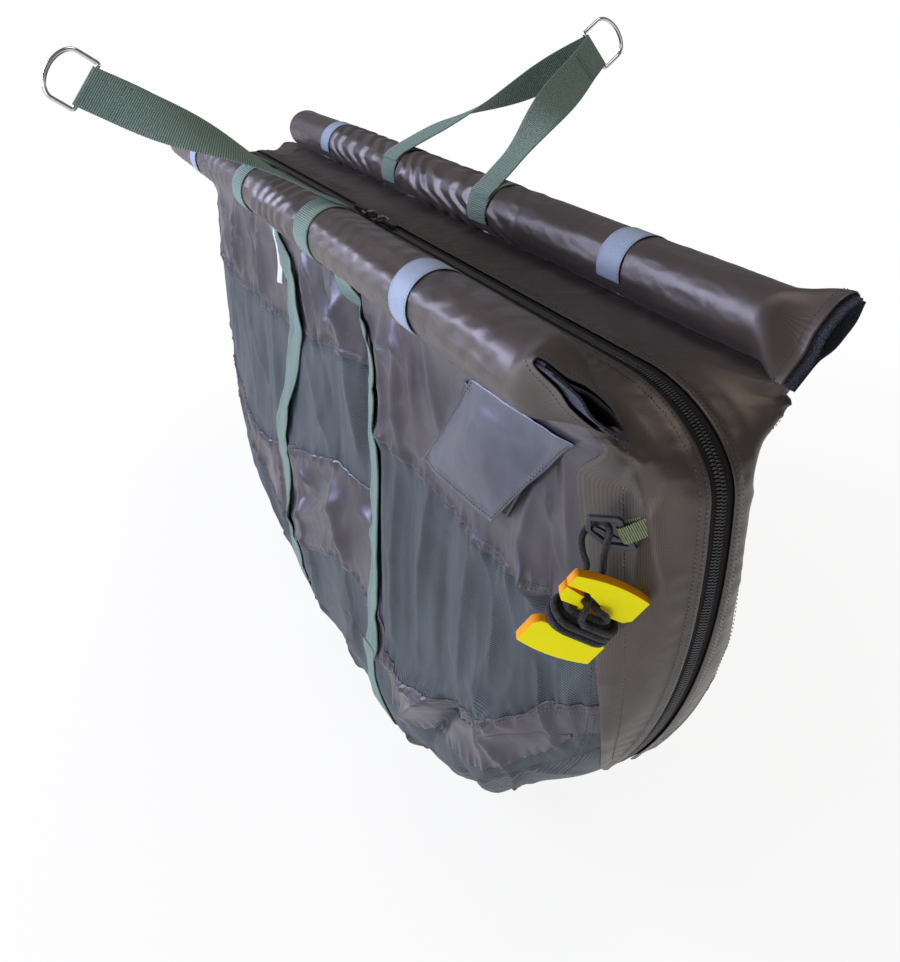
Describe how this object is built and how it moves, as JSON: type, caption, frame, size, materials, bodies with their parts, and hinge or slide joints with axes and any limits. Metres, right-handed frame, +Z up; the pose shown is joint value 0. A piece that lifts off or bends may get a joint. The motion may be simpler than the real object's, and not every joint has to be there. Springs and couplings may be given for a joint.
{
  "type": "weigh sling",
  "caption": "Zipped mesh and nylon weigh sling with foam floats in sleeves, webbing handles with D-rings, a flap pocket and a cord winder on a clip.",
  "frame": {"origin": "midway between the two float axes at mid length, where the sling hangs", "axes": "+X along the floats to the open sleeve mouths, -Y to the pocket side, +Z up"},
  "size_m": [1.23, 0.649, 0.7676],
  "materials": {
    "foam": "closed-cell foam",
    "nylon": "coated nylon, slight sheen",
    "mesh": "fine polyester mesh",
    "webbing": "ribbed webbing",
    "zip_tape": "woven tape",
    "zip_coil": "moulded coil",
    "reflective": "retroreflective tape",
    "velcro": "hook and loop",
    "steel": "polished wire",
    "slider_metal": "black enamel",
    "pull_metal": "satin",
    "pull_rubber": "moulded",
    "tab": "plain woven tab",
    "plastic": "moulded acetal",
    "loop": "narrow webbing",
    "winder": "sliced EVA foam",
    "cord": "braided cord"
  },
  "bodies": {
    "belly": {"belly_mesh": "mesh", "belly_strap_back": "webbing", "belly_strap_front": "webbing"},
    "near_side": {"foam_float_near": "foam", "float_sleeve_near": "nylon", "top_band_near": "nylon", "mesh_window_near": "mesh", "mid_band_near": "nylon", "cover_near": "nylon", "zip_tape_near": "zip_tape", "zip_coil_near": "zip_coil", "side_strap_back_near": "webbing", "side_strap_front_near": "webbing", "reflective_band_back_near": "reflective", "reflective_band_front_near": "reflective", "velcro_hook_near": "velcro", "velcro_loop_near": "velcro", "pocket_body": "nylon", "side_tab": "tab", "clip_loop": "loop"},
    "far_side": {"foam_float_far": "foam", "float_sleeve_far": "nylon", "top_band_far": "nylon", "mesh_window_far": "mesh", "mid_band_far": "nylon", "cover_far": "nylon", "zip_tape_far": "zip_tape", "zip_coil_far": "zip_coil", "side_strap_back_far": "webbing", "side_strap_front_far": "webbing", "reflective_band_back_far": "reflective", "reflective_band_front_far": "reflective", "velcro_hook_far": "velcro", "velcro_loop_far": "velcro"},
    "near_handle": {"handle_near": "webbing"},
    "far_handle": {"handle_far": "webbing"},
    "near_ring": {"d_ring_near": "steel"},
    "far_ring": {"d_ring_far": "steel"},
    "back_slider": {"zip_slider_back": "slider_metal"},
    "front_slider": {"zip_slider_front": "slider_metal"},
    "back_pull": {"pull_ring_back": "pull_metal", "pull_grip_back": "pull_rubber"},
    "front_pull": {"pull_ring_front": "pull_metal", "pull_grip_front": "pull_rubber"},
    "flap": {"pocket_flap": "nylon"},
    "clip": {"clip_frame": "plastic"},
    "gate": {"clip_gate": "plastic"},
    "winder": {"cord_winder": "winder", "cord_winding": "cord", "cord_lead": "cord"}
  },
  "joints": [
    {"name": "near_side_opens", "type": "hinge", "parent": "belly", "child": "near_side", "pos_m": [0, -0.1025, -0.47], "axis": [1, 0, 0], "range_deg": [0, 80], "deforming": ["belly_mesh", "belly_strap_back", "belly_strap_front"]},
    {"name": "far_side_opens", "type": "hinge", "parent": "belly", "child": "far_side", "pos_m": [0, 0.1025, -0.47], "axis": [-1, 0, 0], "range_deg": [0, 80], "deforming": ["belly_mesh", "belly_strap_back", "belly_strap_front"]},
    {"name": "near_handle_swings", "type": "hinge", "parent": "near_side", "child": "near_handle", "pos_m": [0, -0.095, 0], "axis": [-1, 0, 0], "range_deg": [-95, 54]},
    {"name": "far_handle_swings", "type": "hinge", "parent": "far_side", "child": "far_handle", "pos_m": [0, 0.095, 0], "axis": [1, 0, 0], "range_deg": [-95, 54]},
    {"name": "near_ring_turns", "type": "hinge", "parent": "near_handle", "child": "near_ring", "pos_m": [0, -0.285, 0.14], "axis": [0, 0.5932, 0.805], "range_deg": [-80, 80]},
    {"name": "far_ring_turns", "type": "hinge", "parent": "far_handle", "child": "far_ring", "pos_m": [0, 0.285, 0.14], "axis": [0, -0.5932, 0.805], "range_deg": [-80, 80]},
    {"name": "back_slider_runs", "type": "slide", "parent": "near_side", "child": "back_slider", "axis": [-1, 0, 0], "range_m": [0, 0.42]},
    {"name": "front_slider_runs", "type": "slide", "parent": "near_side", "child": "front_slider", "axis": [1, 0, 0], "range_m": [0, 0.42]},
    {"name": "back_pull_lifts", "type": "hinge", "parent": "back_slider", "child": "back_pull", "pos_m": [-0.016, 0, -0.0197], "axis": [0, 1, 0], "range_deg": [0, 150]},
    {"name": "front_pull_lifts", "type": "hinge", "parent": "front_slider", "child": "front_pull", "pos_m": [0.016, 0, -0.0197], "axis": [0, -1, 0], "range_deg": [0, 150]},
    {"name": "flap_lifts", "type": "hinge", "parent": "near_side", "child": "flap", "pos_m": [0.46019, -0.08204, -0.05084], "axis": [-0.9988, -0.0493, 0.0068], "range_deg": [0, 100]},
    {"name": "clip_swings", "type": "hinge", "parent": "near_side", "child": "clip", "pos_m": [0.58912, -0.05564, -0.1058], "axis": [-0.2683, -0.3578, 0.8944], "range_deg": [0, 60]},
    {"name": "gate_opens", "type": "hinge", "parent": "clip", "child": "gate", "pos_m": [0.5773, -0.0714, -0.1041], "axis": [0.8, -0.6, 0], "range_deg": [0, 6], "stiffness_Nm_per_rad": 0.02, "springref_deg": -5.73},
    {"name": "winder_swings", "type": "hinge", "parent": "clip", "child": "winder", "pos_m": [0.5794, -0.0686, -0.1103], "axis": [-0.6, -0.8, 0], "range_deg": [0, 8]}
  ]
}
